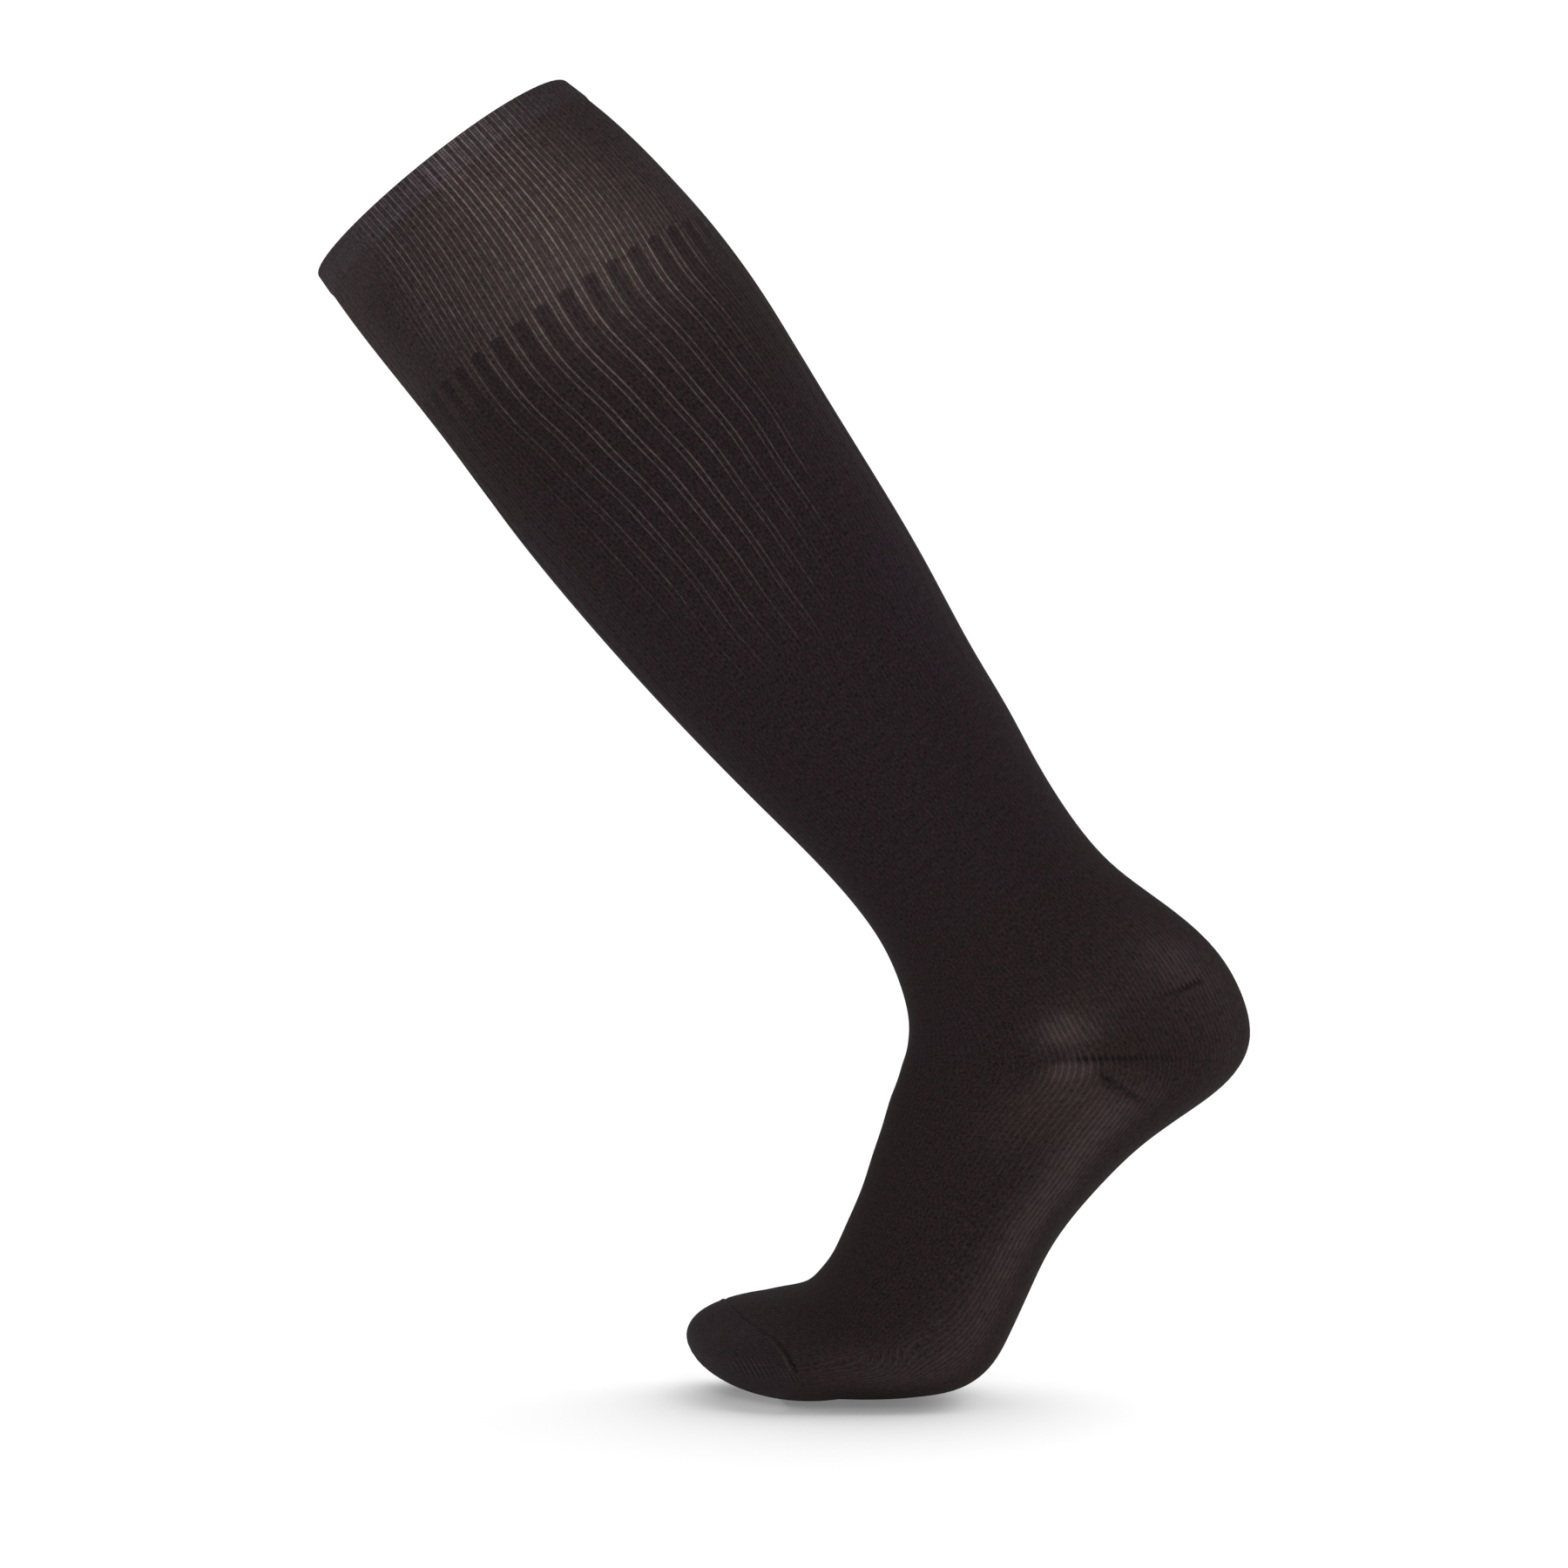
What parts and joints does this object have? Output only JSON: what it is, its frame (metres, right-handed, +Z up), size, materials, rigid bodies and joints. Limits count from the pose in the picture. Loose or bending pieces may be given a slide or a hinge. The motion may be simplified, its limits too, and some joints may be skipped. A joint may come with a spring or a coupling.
{
  "type": "knee-high compression stocking",
  "caption": "Knee-high left compression stocking, hollow and filled out as worn with the heel raised: welt, ribbed cuff, graduated leg, heel pocket, foot and closed toe.",
  "frame": {"origin": "middle of the opening at the top, where the wearer's leg goes in and holds the stocking up", "axes": "+Z up with the ball of the foot lowest, -X the way the toes point, -Y the outer side of this left stocking"},
  "size_m": [0.3417, 0.1122, 0.4815],
  "materials": {
    "welt_knit": "matt black-grey doubled rib knit",
    "cuff_knit": "matt black-brown rib knit with a soft nylon sheen",
    "leg_knit": "dense black-brown ribbed knit with a soft nylon sheen",
    "heel_knit": "plain black-brown knit with a soft nylon sheen",
    "foot_knit": "plain black-brown knit with a soft nylon sheen",
    "toe_knit": "plain black-brown knit with a soft nylon sheen"
  },
  "bodies": {
    "root": {"welt": "welt_knit", "cuff": "cuff_knit", "leg": "leg_knit", "heel": "heel_knit", "foot": "foot_knit", "toe": "toe_knit"}
  },
  "joints": []
}
